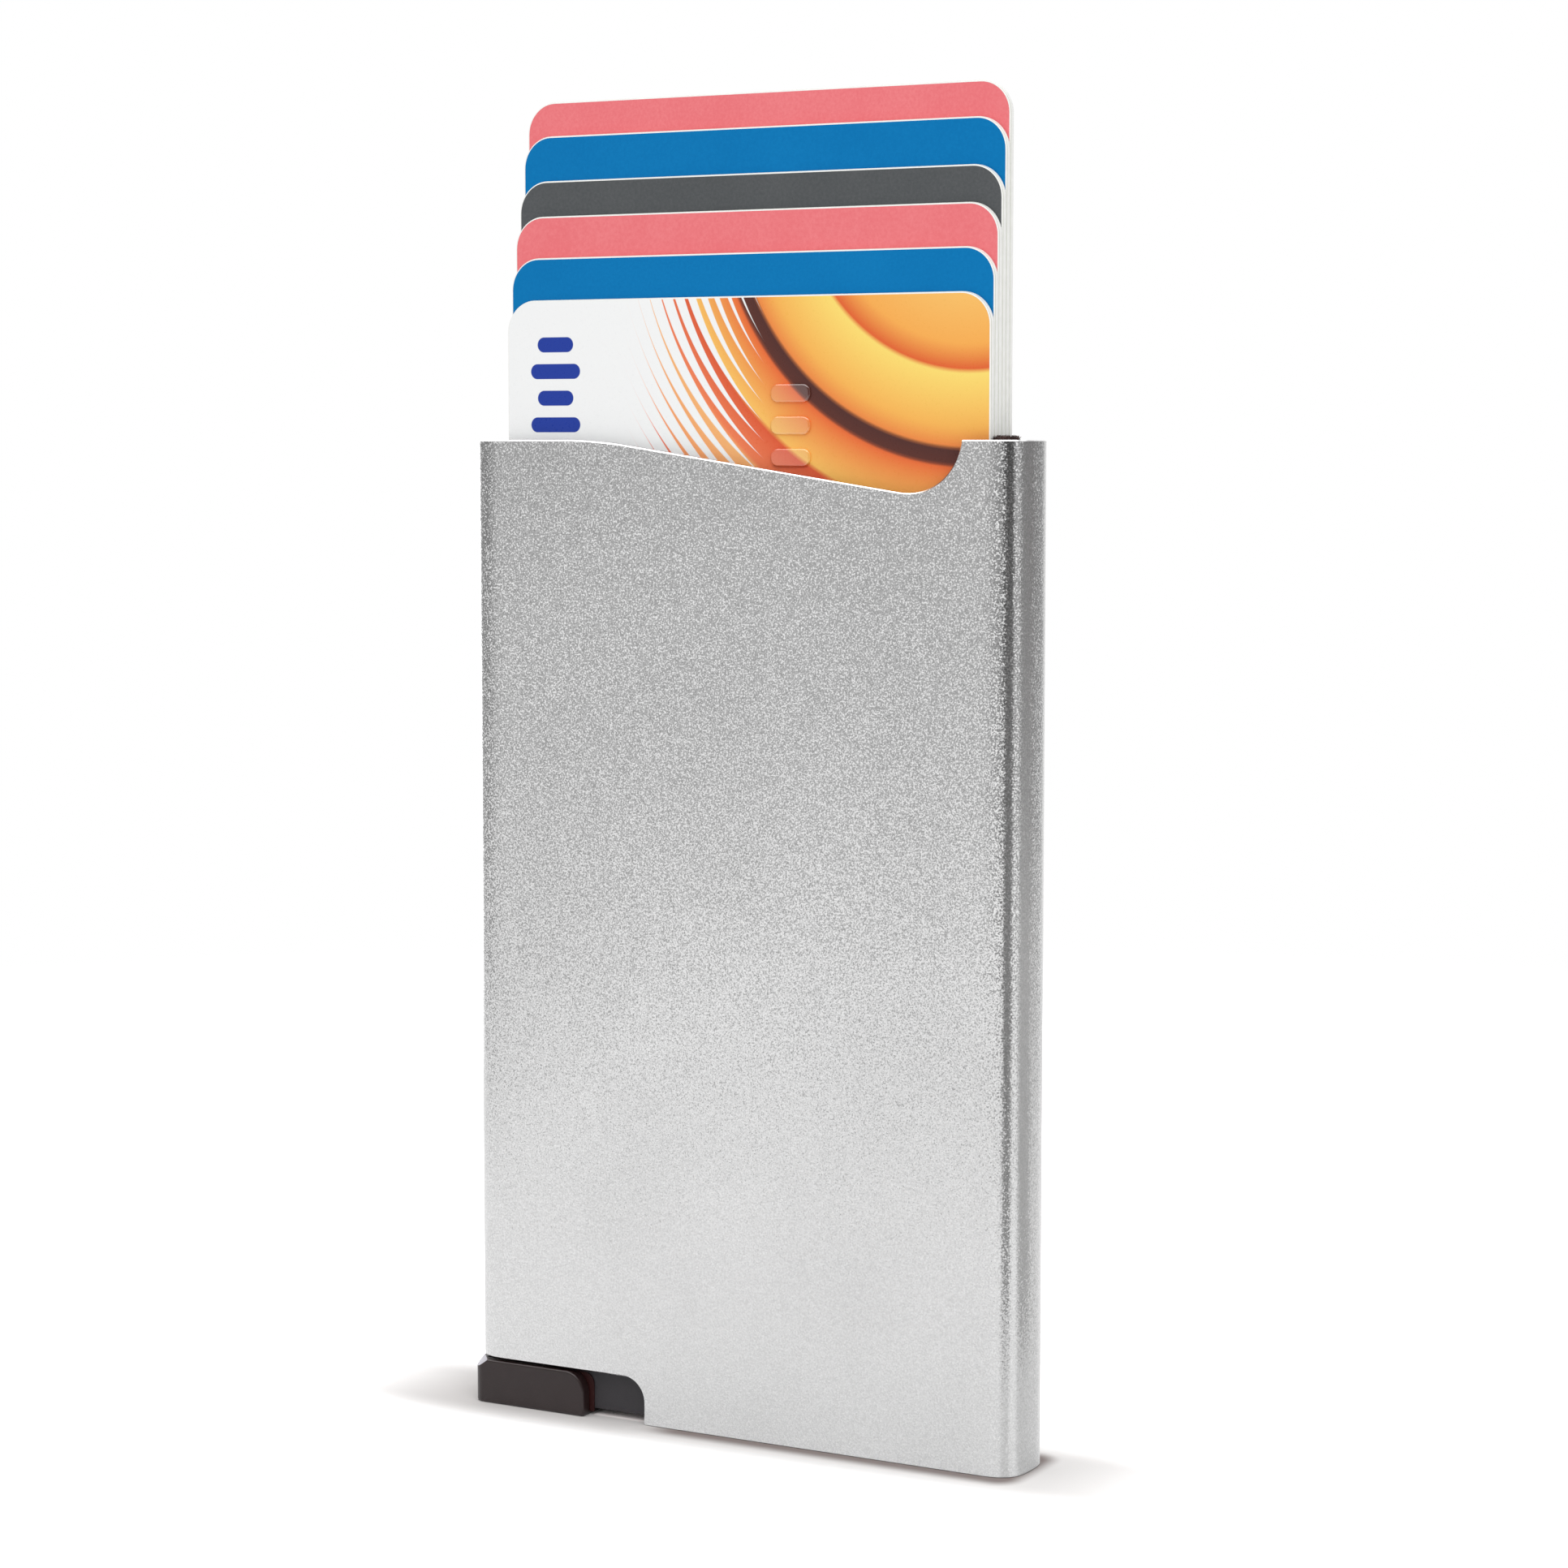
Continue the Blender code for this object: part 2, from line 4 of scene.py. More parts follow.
import bmesh
import bpy
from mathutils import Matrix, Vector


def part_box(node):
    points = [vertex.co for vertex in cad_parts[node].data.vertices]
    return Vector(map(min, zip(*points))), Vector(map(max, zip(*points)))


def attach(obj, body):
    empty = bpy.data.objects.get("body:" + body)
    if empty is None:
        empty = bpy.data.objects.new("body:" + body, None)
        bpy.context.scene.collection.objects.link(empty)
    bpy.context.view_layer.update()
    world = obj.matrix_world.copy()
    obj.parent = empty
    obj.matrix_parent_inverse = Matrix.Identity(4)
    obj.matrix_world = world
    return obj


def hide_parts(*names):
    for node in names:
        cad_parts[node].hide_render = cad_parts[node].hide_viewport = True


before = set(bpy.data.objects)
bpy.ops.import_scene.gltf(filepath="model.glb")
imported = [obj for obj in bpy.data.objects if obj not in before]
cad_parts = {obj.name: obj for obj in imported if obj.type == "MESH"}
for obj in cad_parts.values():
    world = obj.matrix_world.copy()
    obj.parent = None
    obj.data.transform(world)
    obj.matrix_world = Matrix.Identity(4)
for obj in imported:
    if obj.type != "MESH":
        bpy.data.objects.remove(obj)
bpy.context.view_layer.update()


# Shader nodes. A Level is one output socket that can be used in sums.

class Level:
    def __init__(self, nodes, socket):
        self.nodes = nodes
        self.socket = socket

    def calc(self, operation, *others):
        return self.nodes.math(operation, self, *others)

    def __add__(self, other):
        return self.calc("ADD", other)

    def __radd__(self, other):
        return self.calc("ADD", other)

    def __sub__(self, other):
        return self.calc("SUBTRACT", other)

    def __rsub__(self, other):
        return self.nodes.math("SUBTRACT", other, self)

    def __mul__(self, other):
        return self.calc("MULTIPLY", other)

    def __rmul__(self, other):
        return self.calc("MULTIPLY", other)

    def __truediv__(self, other):
        return self.calc("DIVIDE", other)

    def __neg__(self):
        return self.calc("MULTIPLY", -1)

    def size(self):
        return self.calc("ABSOLUTE")

    def root(self):
        return self.calc("SQRT")

    def least(self, other):
        return self.calc("MINIMUM", other)

    def most(self, other):
        return self.calc("MAXIMUM", other)

    def cycle(self, length):
        return self.calc("FLOORED_MODULO", length)

    def rise(self, start, end):
        values = {"Value": self, "From Min": start, "From Max": end}
        node = self.nodes.add("ShaderNodeMapRange", {"interpolation_type": "SMOOTHSTEP"}, values)
        return Level(self.nodes, node.outputs[0])

    def stretched(self):
        # noise lies mostly between these two values, and this takes it to 0 and 1
        return self.rise(0.3, 0.7)


class Nodes:
    def __init__(self, tree):
        tree.nodes.clear()
        self.tree = tree

    def add(self, kind, settings=None, values=None):
        node = self.tree.nodes.new(kind)
        for key, value in (settings or {}).items():
            if key == "stops":
                self.setStops(node.color_ramp, value)
            else:
                setattr(node, key, value)
        for key, value in (values or {}).items():
            socket = node.inputs[key]
            value = value.socket if isinstance(value, Level) else value
            if isinstance(value, bpy.types.NodeSocket):
                self.tree.links.new(value, socket)
            else:
                socket.default_value = value
        return node

    def setStops(self, ramp, stops):
        while len(ramp.elements) > 1:
            ramp.elements.remove(ramp.elements[-1])
        ramp.elements[0].position, ramp.elements[0].color = stops[0]
        for position, color in stops[1:]:
            ramp.elements.new(position).color = color

    def math(self, operation, *values):
        node = self.add("ShaderNodeMath", {"operation": operation}, dict(enumerate(values)))
        return Level(self, node.outputs[0])

    def spot(self):
        return self.add("ShaderNodeTexCoord").outputs["Object"]

    def split(self, arrow):
        parts = self.add("ShaderNodeSeparateXYZ", None, {0: arrow}).outputs
        return [Level(self, part) for part in parts]

    def facing(self, kind="Normal"):
        return self.add("ShaderNodeNewGeometry").outputs[kind]

    def noise(self, spot, scale, detail=2, roughness=0.5):
        values = {"Vector": spot, "Scale": scale, "Detail": detail, "Roughness": roughness}
        return Level(self, self.add("ShaderNodeTexNoise", None, values).outputs[0])

    def mix(self, factor, first, second, way="MIX"):
        values = {0: factor, 6: first, 7: second}
        return self.add("ShaderNodeMix", {"data_type": "RGBA", "blend_type": way}, values).outputs[2]

    def ramp(self, level, stops):
        return self.add("ShaderNodeValToRGB", {"stops": stops}, {0: level}).outputs[0]

    def bump(self, height, distance):
        values = {"Height": height, "Distance": distance}
        return self.add("ShaderNodeBump", None, values).outputs[0]

    def arrow(self, operation, *values, **named):
        values = {**dict(enumerate(values)), **named}
        return self.add("ShaderNodeVectorMath", {"operation": operation}, values).outputs[0]

    def tilted(self, spot, dent, lean, spark, sparkLean):
        # turns the surface this way and that, like the dents of a blasted finish, and the sparks downwards
        values = {"Vector": spot, "Scale": dent, "Detail": 1}
        turn = self.add("ShaderNodeTexNoise", None, values).outputs["Color"]
        turn = self.arrow("SCALE", self.arrow("SUBTRACT", turn, (0.5, 0.5, 0.5)), Scale=lean)
        drop = self.add("ShaderNodeCombineXYZ", None, {2: spark * -sparkLean}).outputs[0]
        return self.arrow("NORMALIZE", self.arrow("ADD", self.arrow("ADD", self.facing(), turn), drop))

    def matt(self, color):
        return self.add("ShaderNodeBsdfDiffuse", None, {"Color": color}).outputs[0]

    def blend(self, factor, first, second):
        return self.add("ShaderNodeMixShader", None, {0: factor, 1: first, 2: second}).outputs[0]

    def show(self, shader):
        self.add("ShaderNodeOutputMaterial", None, {"Surface": shader})

    def surface(self, values):
        self.show(self.add("ShaderNodeBsdfPrincipled", None, values).outputs[0])


def newFinish(name):
    finish = bpy.data.materials.new(name)
    finish.use_nodes = True
    return finish, Nodes(finish.node_tree)


def shade(red, green, blue):
    # screen colour 0 to 255 as the linear colour that shaders use
    parts = [value / 255 for value in (red, green, blue)]
    return (*(part / 12.92 if part < 0.04045 else ((part + 0.055) / 1.055) ** 2.4 for part in parts), 1)


def grey(value):
    return (value, value, value, 1)


# Modelling steps

modelling = {
    "sameSpot": 1e-6,
    "straight": 0.999,
    "faced": 0.98,
    "smoothAngle": 32,
    "flatFaceWeight": 60,
    "past": 0.004,  # how far cutters reach past what they cut
}


def takeUp(piece):
    bpy.ops.object.select_all(action="DESELECT")
    piece.select_set(True)
    bpy.context.view_layer.objects.active = piece


def addBlock(name, low, high):
    bpy.ops.object.select_all(action="DESELECT")
    middle = [(a + b) / 2 for a, b in zip(low, high)]
    size = [b - a for a, b in zip(low, high)]
    bpy.ops.mesh.primitive_cube_add(size=1, location=middle, scale=size)
    piece = bpy.context.object
    piece.name = name
    piece.data.name = name
    bpy.ops.object.transform_apply(location=True, rotation=True, scale=True)
    return piece


def pick(piece, kind, test):
    # selects edges or faces in edit mode by their place
    bpy.ops.mesh.select_mode(type=kind)
    bpy.ops.mesh.select_all(action="DESELECT")
    mesh = bmesh.from_edit_mesh(piece.data)
    for part in (mesh.edges if kind == "EDGE" else mesh.faces):
        if test(part):
            part.select_set(True)
    bmesh.update_edit_mesh(piece.data)


def roundPicked(piece, test, radius, segments, fullness=0.5):
    takeUp(piece)
    bpy.ops.object.mode_set(mode="EDIT")
    pick(piece, "EDGE", test)
    bpy.ops.mesh.bevel(offset_type="OFFSET", offset=radius, segments=segments, profile=fullness,
                       affect="EDGES", clamp_overlap=False)
    bpy.ops.object.mode_set(mode="OBJECT")


def along(edge, axis):
    # True for an edge that runs along one axis
    span = edge.verts[1].co - edge.verts[0].co
    return abs(span[axis]) > modelling["straight"] * span.length


def near(edge, axis, value):
    return all(abs(vert.co[axis] - value) < modelling["sameSpot"] for vert in edge.verts)


def applyModifier(piece, kind, **settings):
    takeUp(piece)
    modifier = piece.modifiers.new(kind.lower(), kind)
    for key, value in settings.items():
        setattr(modifier, key, value)
    bpy.ops.object.modifier_apply(modifier=modifier.name)


def combine(piece, other, operation):
    applyModifier(piece, "BOOLEAN", operation=operation, object=other, solver="EXACT")
    bpy.data.objects.remove(other)


def softenEdges(piece, width, segments, angle, material=-1):
    applyModifier(piece, "BEVEL", width=width, segments=segments, limit_method="ANGLE",
                  angle_limit=radians(angle), use_clamp_overlap=False, material=material)


def smooth(piece):
    takeUp(piece)
    bpy.ops.object.shade_smooth_by_angle(angle=radians(modelling["smoothAngle"]))
    applyModifier(piece, "WEIGHTED_NORMAL", keep_sharp=True, weight=modelling["flatFaceWeight"])


def dress(piece, *finishes):
    piece.data.materials.clear()
    for finish in finishes:
        piece.data.materials.append(finish)


def place(piece, body, slot, *nodes):
    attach(piece, body)
    if nodes:
        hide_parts(*nodes)


# Camera, at the photograph's angle

camera = {
    "spot": (0.177757, -0.313487, 0.098626),
    "turn": 29.068,
    "down": 5.331,
    "lens": 84.18,
    "sensor": 36,
    "clip": (0.01, 20),
}

bpy.ops.object.select_all(action="DESELECT")
bpy.ops.object.camera_add(location=camera["spot"],
                          rotation=(radians(90 - camera["down"]), 0, radians(camera["turn"])))
view = bpy.context.object
view.name = "photoCamera"
view.data.lens = camera["lens"]
view.data.sensor_width = camera["sensor"]
view.data.clip_start, view.data.clip_end = camera["clip"]
bpy.context.scene.camera = view
bpy.context.scene.view_settings.view_transform = "Standard"
print("camera set")


# Aluminium

blasted = {
    "dull": grey(0.63),
    "bright": grey(0.74),
    "glint": grey(0.84),
    "patch": grey(0.94),
    "roughness": 0.21,
    "grainRoughness": 0.1,
    "cloudRoughness": 0.06,
    "grain": 5000,
    "cloud": 32,
    "cloudFrom": (0.35, 0.65),
    "dent": 6300,
    "dentLean": 0.34,
    "spark": 5900,
    "sparkFrom": (0.43, 0.8),
    "sparkLean": 0.26,
}

cut = {
    "dull": grey(0.86),
    "bright": grey(0.95),
    "marks": 2500,
    "marksDepth": 0.000004,
    "roughness": 0.16,
    "marksRoughness": 0.1,
}


def blastedAluminium():
    finish, nodes = newFinish("blastedAluminium")
    spot = nodes.spot()
    grain = nodes.noise(spot, blasted["grain"])
    cloud = nodes.noise(spot, blasted["cloud"], detail=3)
    spark = nodes.noise(spot, blasted["spark"], detail=1).rise(*blasted["sparkFrom"])
    color = nodes.mix(grain.stretched(), blasted["dull"], blasted["bright"])
    color = nodes.mix(spark, color, blasted["glint"])
    color = nodes.mix(cloud.rise(*blasted["cloudFrom"]), color, blasted["patch"], "MULTIPLY")
    uneven = blasted["grainRoughness"] * (grain - 0.5) + blasted["cloudRoughness"] * (cloud - 0.5)
    nodes.surface({
        "Base Color": color,
        "Metallic": 1,
        "Roughness": blasted["roughness"] + uneven,
        "Normal": nodes.tilted(spot, blasted["dent"], blasted["dentLean"], spark, blasted["sparkLean"]),
    })
    return finish


def cutAluminium():
    finish, nodes = newFinish("cutAluminium")
    marks = nodes.noise(nodes.spot(), cut["marks"], detail=3)
    nodes.surface({
        "Base Color": nodes.mix(marks.stretched(), cut["dull"], cut["bright"]),
        "Metallic": 1,
        "Roughness": cut["roughness"] + cut["marksRoughness"] * marks,
        "Normal": nodes.bump(marks, cut["marksDepth"]),
    })
    return finish


# Case

case = {
    "wall": 0.00096,  # clears the lever's nose at the end of its swing
    "sideReach": 0.00405,
    "sideFullness": 0.63,
    "sideSegments": 22,
    "cutDepth": 0.005,
    "cutSlope": radians(8.3),
    "cutStartX": -0.04,
    "cutLowX": 0.019,
    "cutBlendRadius": 0.05,
    "cutBlendSegments": 9,
    "cutEndRadius": 0.0058,
    "cutEndSegments": 18,
    "cutBack": -0.00238,  # through the front wall only
    "cutAboveRim": 0.00002,
    "notchRight": -0.0104,
    "notchTop": 0.0047,
    "notchRadius": 0.00245,
    "notchSegments": 12,
    "edge": 0.00011,
    "edgeAngle": 40,
}


def thumbCutter(low, high):
    slope = case["cutSlope"]
    radius = case["cutEndRadius"]
    rim = high.z + case["cutAboveRim"]
    centerZ = high.z - case["cutDepth"] + radius
    footX = case["cutLowX"] - radius * sin(slope)
    footZ = centerZ - radius * cos(slope)
    wallX = case["cutLowX"] + radius
    cornerZ = footZ - (wallX - footX) * tan(slope)
    meetX = footX - (rim - footZ) / tan(slope)
    cutter = addBlock("thumbCutter", (case["cutStartX"], low.y - modelling["past"], rim),
                      (wallX, case["cutBack"], high.z + modelling["past"]))
    bpy.ops.object.mode_set(mode="EDIT")
    bpy.ops.mesh.select_all(action="SELECT")
    bpy.ops.mesh.bisect(plane_co=(meetX, 0, 0), plane_no=(1, 0, 0))
    pick(cutter, "EDGE", lambda edge: near(edge, 0, wallX) and near(edge, 2, rim))
    bpy.ops.transform.translate(value=(0, 0, cornerZ - rim))
    bpy.ops.object.mode_set(mode="OBJECT")
    reach = case["cutBlendRadius"] * tan(slope / 2)
    roundPicked(cutter, lambda edge: near(edge, 0, meetX) and near(edge, 2, rim), reach,
                case["cutBlendSegments"])
    reach = radius / tan((pi / 2 - slope) / 2)
    roundPicked(cutter, lambda edge: near(edge, 0, wallX) and near(edge, 2, cornerZ), reach,
                case["cutEndSegments"])
    return cutter


def notchCutter(low, high):
    past = modelling["past"]
    right, top = case["notchRight"], case["notchTop"]
    cutter = addBlock("notchCutter", (low.x - past, low.y - past, low.z - past), (right, high.y + past, top))
    roundPicked(cutter, lambda edge: near(edge, 0, right) and near(edge, 2, top), case["notchRadius"],
                case["notchSegments"])
    return cutter


def makeCase():
    low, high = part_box("case_tube")
    tube = addBlock("case", low, high)
    roundPicked(tube, lambda edge: along(edge, 2), case["sideReach"], case["sideSegments"],
                case["sideFullness"])
    bpy.ops.object.mode_set(mode="EDIT")
    pick(tube, "FACE", lambda face: abs(face.normal.z) > modelling["faced"])
    bpy.ops.mesh.delete(type="ONLY_FACE")
    bpy.ops.object.mode_set(mode="OBJECT")
    applyModifier(tube, "SOLIDIFY", thickness=case["wall"], offset=-1, use_even_offset=True)
    combine(tube, notchCutter(low, high), "DIFFERENCE")
    combine(tube, thumbCutter(low, high), "DIFFERENCE")
    dress(tube, blastedAluminium(), cutAluminium())
    softenEdges(tube, case["edge"], 1, case["edgeAngle"], material=1)  # cut edges show the second finish
    smooth(tube)
    place(tube, "case", "blasted_aluminium", "case_tube")


makeCase()
print("case made")


# Moulded plastic of the slider, the insert and the lever

plastic = {
    "grain": 9000,
    "grainShare": 0.4,
    "grainDepth": 0.000012,
    "grainRoughness": 0.12,
    "cloud": 260,
    "cloudShare": 0.6,
    "gloss": 0.3,
    "highlightShare": 0.7,  # least cover of the painted highlight
}


def mouldedPlastic(name, color, lighter, roughness, gloss=plastic["gloss"], paintedHighlight=None):
    finish, nodes = newFinish(name)
    spot = nodes.spot()
    grain = nodes.noise(spot, plastic["grain"])
    cloud = nodes.noise(spot, plastic["cloud"], detail=3)
    tone = (plastic["cloudShare"] * cloud + plastic["grainShare"] * grain).stretched()
    paint = nodes.mix(tone, color, lighter)
    if paintedHighlight:
        # the facet with the painted highlight is known by the way it faces, the same on front and back
        x, y, z = nodes.split(nodes.facing("True Normal"))
        highlightX, highlightY, highlightZ = paintedHighlight["facing"]
        alike = x * highlightX + y.size() * highlightY + z * highlightZ
        patchy = plastic["highlightShare"] + (1 - plastic["highlightShare"]) * cloud
        paint = nodes.mix(alike.rise(*paintedHighlight["from"]) * patchy, paint, paintedHighlight["color"])
    nodes.surface({
        "Base Color": paint,
        "Roughness": roughness + plastic["grainRoughness"] * (grain - 0.5),
        "Specular IOR Level": gloss,
        "Normal": nodes.bump(grain, plastic["grainDepth"]),
    })
    return finish


# Brushed steel of the tongue and the pins

steel = {"dullShare": 0.85, "roughness": 0.25, "lineRoughness": 0.2, "lineDepth": 0.000004}


def brushedSteel(name, tone, stretch):
    finish, nodes = newFinish(name)
    settings = {"vector_type": "POINT"}
    drawn = nodes.add("ShaderNodeMapping", settings, {"Vector": nodes.spot(), "Scale": stretch})
    lines = nodes.noise(drawn.outputs[0], 1, detail=3)
    nodes.surface({
        "Base Color": nodes.mix(lines.stretched(), grey(tone * steel["dullShare"]), grey(tone)),
        "Metallic": 1,
        "Roughness": steel["roughness"] + steel["lineRoughness"] * lines,
        "Normal": nodes.bump(lines, steel["lineDepth"]),
    })
    return finish


# Slider

slider = {
    "endCorner": 0.0012,
    "endSegments": 8,
    "shoulder": 0.0022,
    "shoulderSegments": 12,
    "edge": 0.0002,
    "edgeSegments": 3,
    "edgeAngle": 40,
    "tipReach": 0.0018,
    # the tip's facet with a painted highlight: how it faces, how near to that a face must be, and the
    # highlight's colour
    "paintedHighlight": {"facing": (-0.52, 0.42, 0.74), "from": (0.97, 0.99), "color": shade(150, 146, 160)},
    "plate": 0.0012,
    "floor": 0.0004,
    "endWall": 0.001,
    "cavityEdge": 0.00004,
    "cavityAngle": 50,
    "color": shade(34, 20, 20),
    "lighter": shade(41, 27, 27),
    "roughness": 0.36,
    "gloss": 0.5,
}

# the dark red strip that shows between the slider and the insert
web = {
    "low": (-0.0198, -0.00308, 0.0003),
    "high": (-0.01692, -0.00295, 0.0043),
    "corner": 0.0012,
    "segments": 8,
    "color": shade(46, 18, 18),
    "lighter": shade(56, 26, 25),
    "roughness": 0.5,
}


def makeSlider():
    low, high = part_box("slider_cap")
    cap = addBlock("slider", low, high)
    roundPicked(cap, lambda edge: along(edge, 2) and near(edge, 0, low.x), slider["endCorner"],
                slider["endSegments"])
    roundPicked(cap, lambda edge: along(edge, 1) and near(edge, 0, high.x) and near(edge, 2, high.z),
                slider["shoulder"], slider["shoulderSegments"])
    softenEdges(cap, slider["edge"], slider["edgeSegments"], slider["edgeAngle"])
    takeUp(cap)
    bpy.ops.object.mode_set(mode="EDIT")
    tipX, tipY, tipZ = slider["paintedHighlight"]["facing"]
    for turn, edgeY in ((-1, low.y), (1, high.y)):
        bpy.ops.mesh.select_all(action="SELECT")
        bpy.ops.mesh.bisect(plane_co=(low.x + slider["tipReach"], edgeY, high.z),
                            plane_no=(tipX, tipY * turn, tipZ), use_fill=True, clear_outer=True)
    bpy.ops.object.mode_set(mode="OBJECT")
    cavity = addBlock("sliderCavity",
                      (low.x + slider["endWall"], low.y + slider["plate"], low.z + slider["floor"]),
                      (high.x + modelling["past"], high.y - slider["plate"], high.z + modelling["past"]))
    combine(cap, cavity, "DIFFERENCE")
    softenEdges(cap, slider["cavityEdge"], 1, slider["cavityAngle"])
    dress(cap, mouldedPlastic("sliderPlastic", slider["color"], slider["lighter"], slider["roughness"],
                              slider["gloss"], slider["paintedHighlight"]))
    smooth(cap)
    place(cap, "slider", "slider_plastic", "slider_cap")


def makeWebs():
    finish = mouldedPlastic("webPlastic", web["color"], web["lighter"], web["roughness"])
    lowX, lowY, lowZ = web["low"]
    highX, highY, highZ = web["high"]
    for side, turn in (("front", 1), ("back", -1)):
        nearY, farY = sorted((turn * lowY, turn * highY))
        strip = addBlock(f"slider_{side}_web", (lowX, nearY, lowZ), (highX, farY, highZ))
        roundPicked(strip, lambda edge: along(edge, 1) and near(edge, 0, highX) and near(edge, 2, highZ),
                    web["corner"], web["segments"])
        dress(strip, finish)
        smooth(strip)
        place(strip, "slider", "slider_plastic")


makeSlider()
makeWebs()
print("slider made")


# The parts inside keep their own shapes

inside = {
    "base_insert": mouldedPlastic("insertPlastic", shade(52, 50, 53), shade(62, 59, 62), 0.5),
    "ejector_lever": mouldedPlastic("leverPlastic", shade(76, 76, 80), shade(86, 86, 89), 0.45),
    "drive_tongue": brushedSteel("tongueSteel", 0.46, (400, 400, 16000)),
    "pivot_pin": brushedSteel("pivotSteel", 0.52, (9000, 300, 9000)),
    "drive_pin": brushedSteel("drivePinSteel", 0.52, (9000, 300, 9000)),
}
for name, finish in inside.items():
    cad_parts[name].material_slots[0].material = finish
print("inner parts finished")


# Cards

cards = {
    "corner": 0.00318,
    "cornerSegments": 14,
    "edge": 0.00017,
    "edgeSegments": 2,
    "edgeAngle": 40,
    "rim": 0.004,  # outside the faces, only what stands this close to the outline shows the core
    "colors": {
        "pink": (shade(236, 118, 124), shade(242, 134, 138), "card_pink"),
        "blue": (shade(0, 116, 180), shade(6, 124, 188), "card_blue"),
        "grey": (shade(82, 85, 87), shade(94, 96, 98), "card_grey"),
    },
    "stack": ("front", "blue", "pink", "grey", "blue", "pink"),
    "bodies": ("card_one", "card_two", "card_three", "card_four", "card_five", "card_six"),
}

core = {
    "pitch": 0.0008,
    "seams": (0.0001, 0.00066),  # below each card's front face
    "seamSoft": (0.00001, 0.00005),
    "seamShare": 0.9,
    "seamColor": shade(198, 203, 186),
    "color": shade(246, 246, 243),
    "lighter": shade(251, 251, 248),
    "mottle": 1500,
    "mottleDepth": 0.000006,
    "roughness": 0.38,
    "mottleRoughness": 0.1,
}

# plain lacquer of all cards, and the dark stripe along one long edge of their backs
lacquer = {
    "grain": 3200,
    "grainFrom": (0.3, 0.75),
    "grainShare": 0.65,
    "grainRoughness": 0.14,
    "cloud": 160,
    "cloudShare": 0.35,
    "roughness": 0.3,
    "gloss": 0.1,
    "wave": 900,
    "waveDepth": 0.000004,
    "stripe": (0.0158, 0.0063),  # middle and half width
    "stripeSoft": 0.00004,
    "stripeColor": shade(44, 38, 38),
    "stripePolish": 0.08,
    "backFrom": (0.4, 0.6),
}

# the front card's picture, in millimetres
picture = {
    "center": (25, 124),
    "rings": [  # colours from the middle out, by share of the reach
        (0.0, shade(255, 232, 140)), (0.27, shade(250, 176, 84)), (0.31, shade(228, 96, 48)),
        (0.315, shade(255, 224, 116)), (0.40, shade(250, 184, 88)), (0.43, shade(240, 140, 70)),
        (0.435, shade(84, 48, 44)), (0.46, shade(96, 52, 44)), (0.465, shade(236, 112, 58)),
        (0.54, shade(252, 196, 100)), (0.545, shade(224, 92, 56)), (0.60, shade(244, 132, 88)),
        (0.605, shade(250, 186, 120)), (0.70, shade(246, 150, 96)), (0.705, shade(236, 112, 84)),
        (1.0, shade(250, 180, 140))],
    "reach": 60,
    "arcPitch": 1.3,
    "arcSoft": (-0.02, 0.12),
    "veilLeft": -14,
    "veilWidth": 26,
    "veilShare": 1.56,
    "white": shade(247, 248, 248),
    "dashX": -21.3,
    "dashZ": 99,
    "dashPitch": 2.65,
    "dashLength": 2.9,
    "dashShorter": 0.8,
    "dashRadius": 0.75,
    "dashSoft": 0.04,
    "dashTop": (109.5, 109.6),
    "dashColor": shade(34, 62, 160),
    "speckle": 0.25,
    "speckleTone": grey(0.9),
    "roughness": 0.22,
    "gloss": 0.25,
}

# raised lozenges on the front card, with a gloss coat
relief = {
    "x": (0.0034, 0.0078),
    "z": (0.1033, 0.1002, 0.0971),
    "height": 0.0018,
    "proud": 0.0003,
    "sunk": 0.0002,
    "roundness": 0.9,
    "roundSegments": 8,
    "topEdge": 0.00024,
    "topSegments": 4,
    "printedY": -0.00238,  # the front card's face
    "coatFrom": (0.00003, 0.0001),
    "coatRoughness": 0.05,
    "coatIndex": 1.9,
}


def cardCore(front):
    # white plastic, with the seams of the clear layers near both faces
    finish, nodes = newFinish("cardCore")
    spot = nodes.spot()
    y = nodes.split(spot)[1]
    depth = (y - front).cycle(core["pitch"])
    first, second = core["seams"]
    seam = 1 - (depth - first).size().least((depth - second).size()).rise(*core["seamSoft"])
    mottle = nodes.noise(spot, core["mottle"])
    body = nodes.mix(mottle.stretched(), core["color"], core["lighter"])
    nodes.surface({
        "Base Color": nodes.mix(seam * core["seamShare"], body, core["seamColor"]),
        "Roughness": core["roughness"] + core["mottleRoughness"] * mottle,
        "Normal": nodes.bump(mottle, core["mottleDepth"]),
    })
    return finish


def cardPrint(name, color, lighter):
    finish, nodes = newFinish(name)
    spot = nodes.spot()
    x = nodes.split(spot)[0]
    grain = nodes.noise(spot, lacquer["grain"], detail=3, roughness=0.7)
    cloud = nodes.noise(spot, lacquer["cloud"], detail=3)
    tone = (lacquer["grainShare"] * grain + lacquer["cloudShare"] * cloud).rise(*lacquer["grainFrom"])
    behind = nodes.split(nodes.facing())[1].rise(*lacquer["backFrom"])
    middle, half = lacquer["stripe"]
    soft = lacquer["stripeSoft"]
    stripe = behind * (1 - (x - middle).size().rise(half - soft, half + soft))
    rough = lacquer["roughness"] + lacquer["grainRoughness"] * grain
    nodes.surface({
        "Base Color": nodes.mix(stripe, nodes.mix(tone, color, lighter), lacquer["stripeColor"]),
        "Roughness": rough - lacquer["stripePolish"] * stripe,
        "Specular IOR Level": lacquer["gloss"],
        "Normal": nodes.bump(nodes.noise(spot, lacquer["wave"]), lacquer["waveDepth"]),
    })
    return finish


